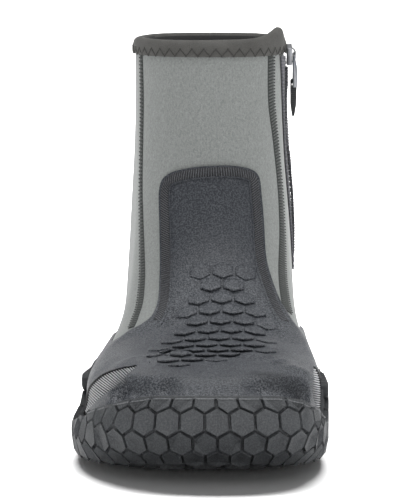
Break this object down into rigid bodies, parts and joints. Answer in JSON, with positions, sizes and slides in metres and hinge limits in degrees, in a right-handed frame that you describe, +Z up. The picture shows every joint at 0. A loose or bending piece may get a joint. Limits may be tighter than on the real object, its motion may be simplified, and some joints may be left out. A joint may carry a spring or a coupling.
{
  "type": "wading bootie",
  "caption": "Ankle-high neoprene wading bootie for the right foot, with a rubber instep guard, a side zip and a lugged rubber sole that wraps up over the toe.",
  "frame": {"origin": "middle of the footprint's bounding box, on the floor plane", "axes": "+Z up, -Y towards the toe, +X towards the inner (medial) side of the foot"},
  "size_m": [0.1108, 0.2874, 0.1855],
  "materials": {
    "moulded_rubber": "matt moulded rubber",
    "neoprene": "knit-faced neoprene",
    "footbed": "fabric-faced foam",
    "rubber": "matt rubber with a fine grain",
    "ribbed_rubber": "ribbed rubber",
    "binding": "knit tape",
    "seam_thread": "overlocked thread",
    "zip_tape": "woven tape",
    "zip_coil": "moulded coil",
    "slider_metal": "plated metal",
    "puller": "folded webbing"
  },
  "bodies": {
    "boot": {"outsole": "moulded_rubber", "upper": "neoprene", "insole": "footbed", "rubber_overlay": "rubber", "flex_panel_lateral": "ribbed_rubber", "flex_panel_medial": "ribbed_rubber", "collar_binding": "binding", "seam_lateral": "seam_thread", "seam_medial": "seam_thread", "zip_tape_front": "zip_tape", "zip_tape_back": "zip_tape", "zip_coil": "zip_coil", "zip_slider": "slider_metal"},
    "pull_tab": {"zip_pull": "slider_metal", "zip_pull_tag": "puller"}
  },
  "joints": [
    {"name": "pull_tab_hinge", "type": "hinge", "parent": "boot", "child": "pull_tab", "pos_m": [0.04378, 0.06268, 0.1719], "axis": [0, -0.9578, -0.2873], "range_deg": [0, 150]}
  ]
}
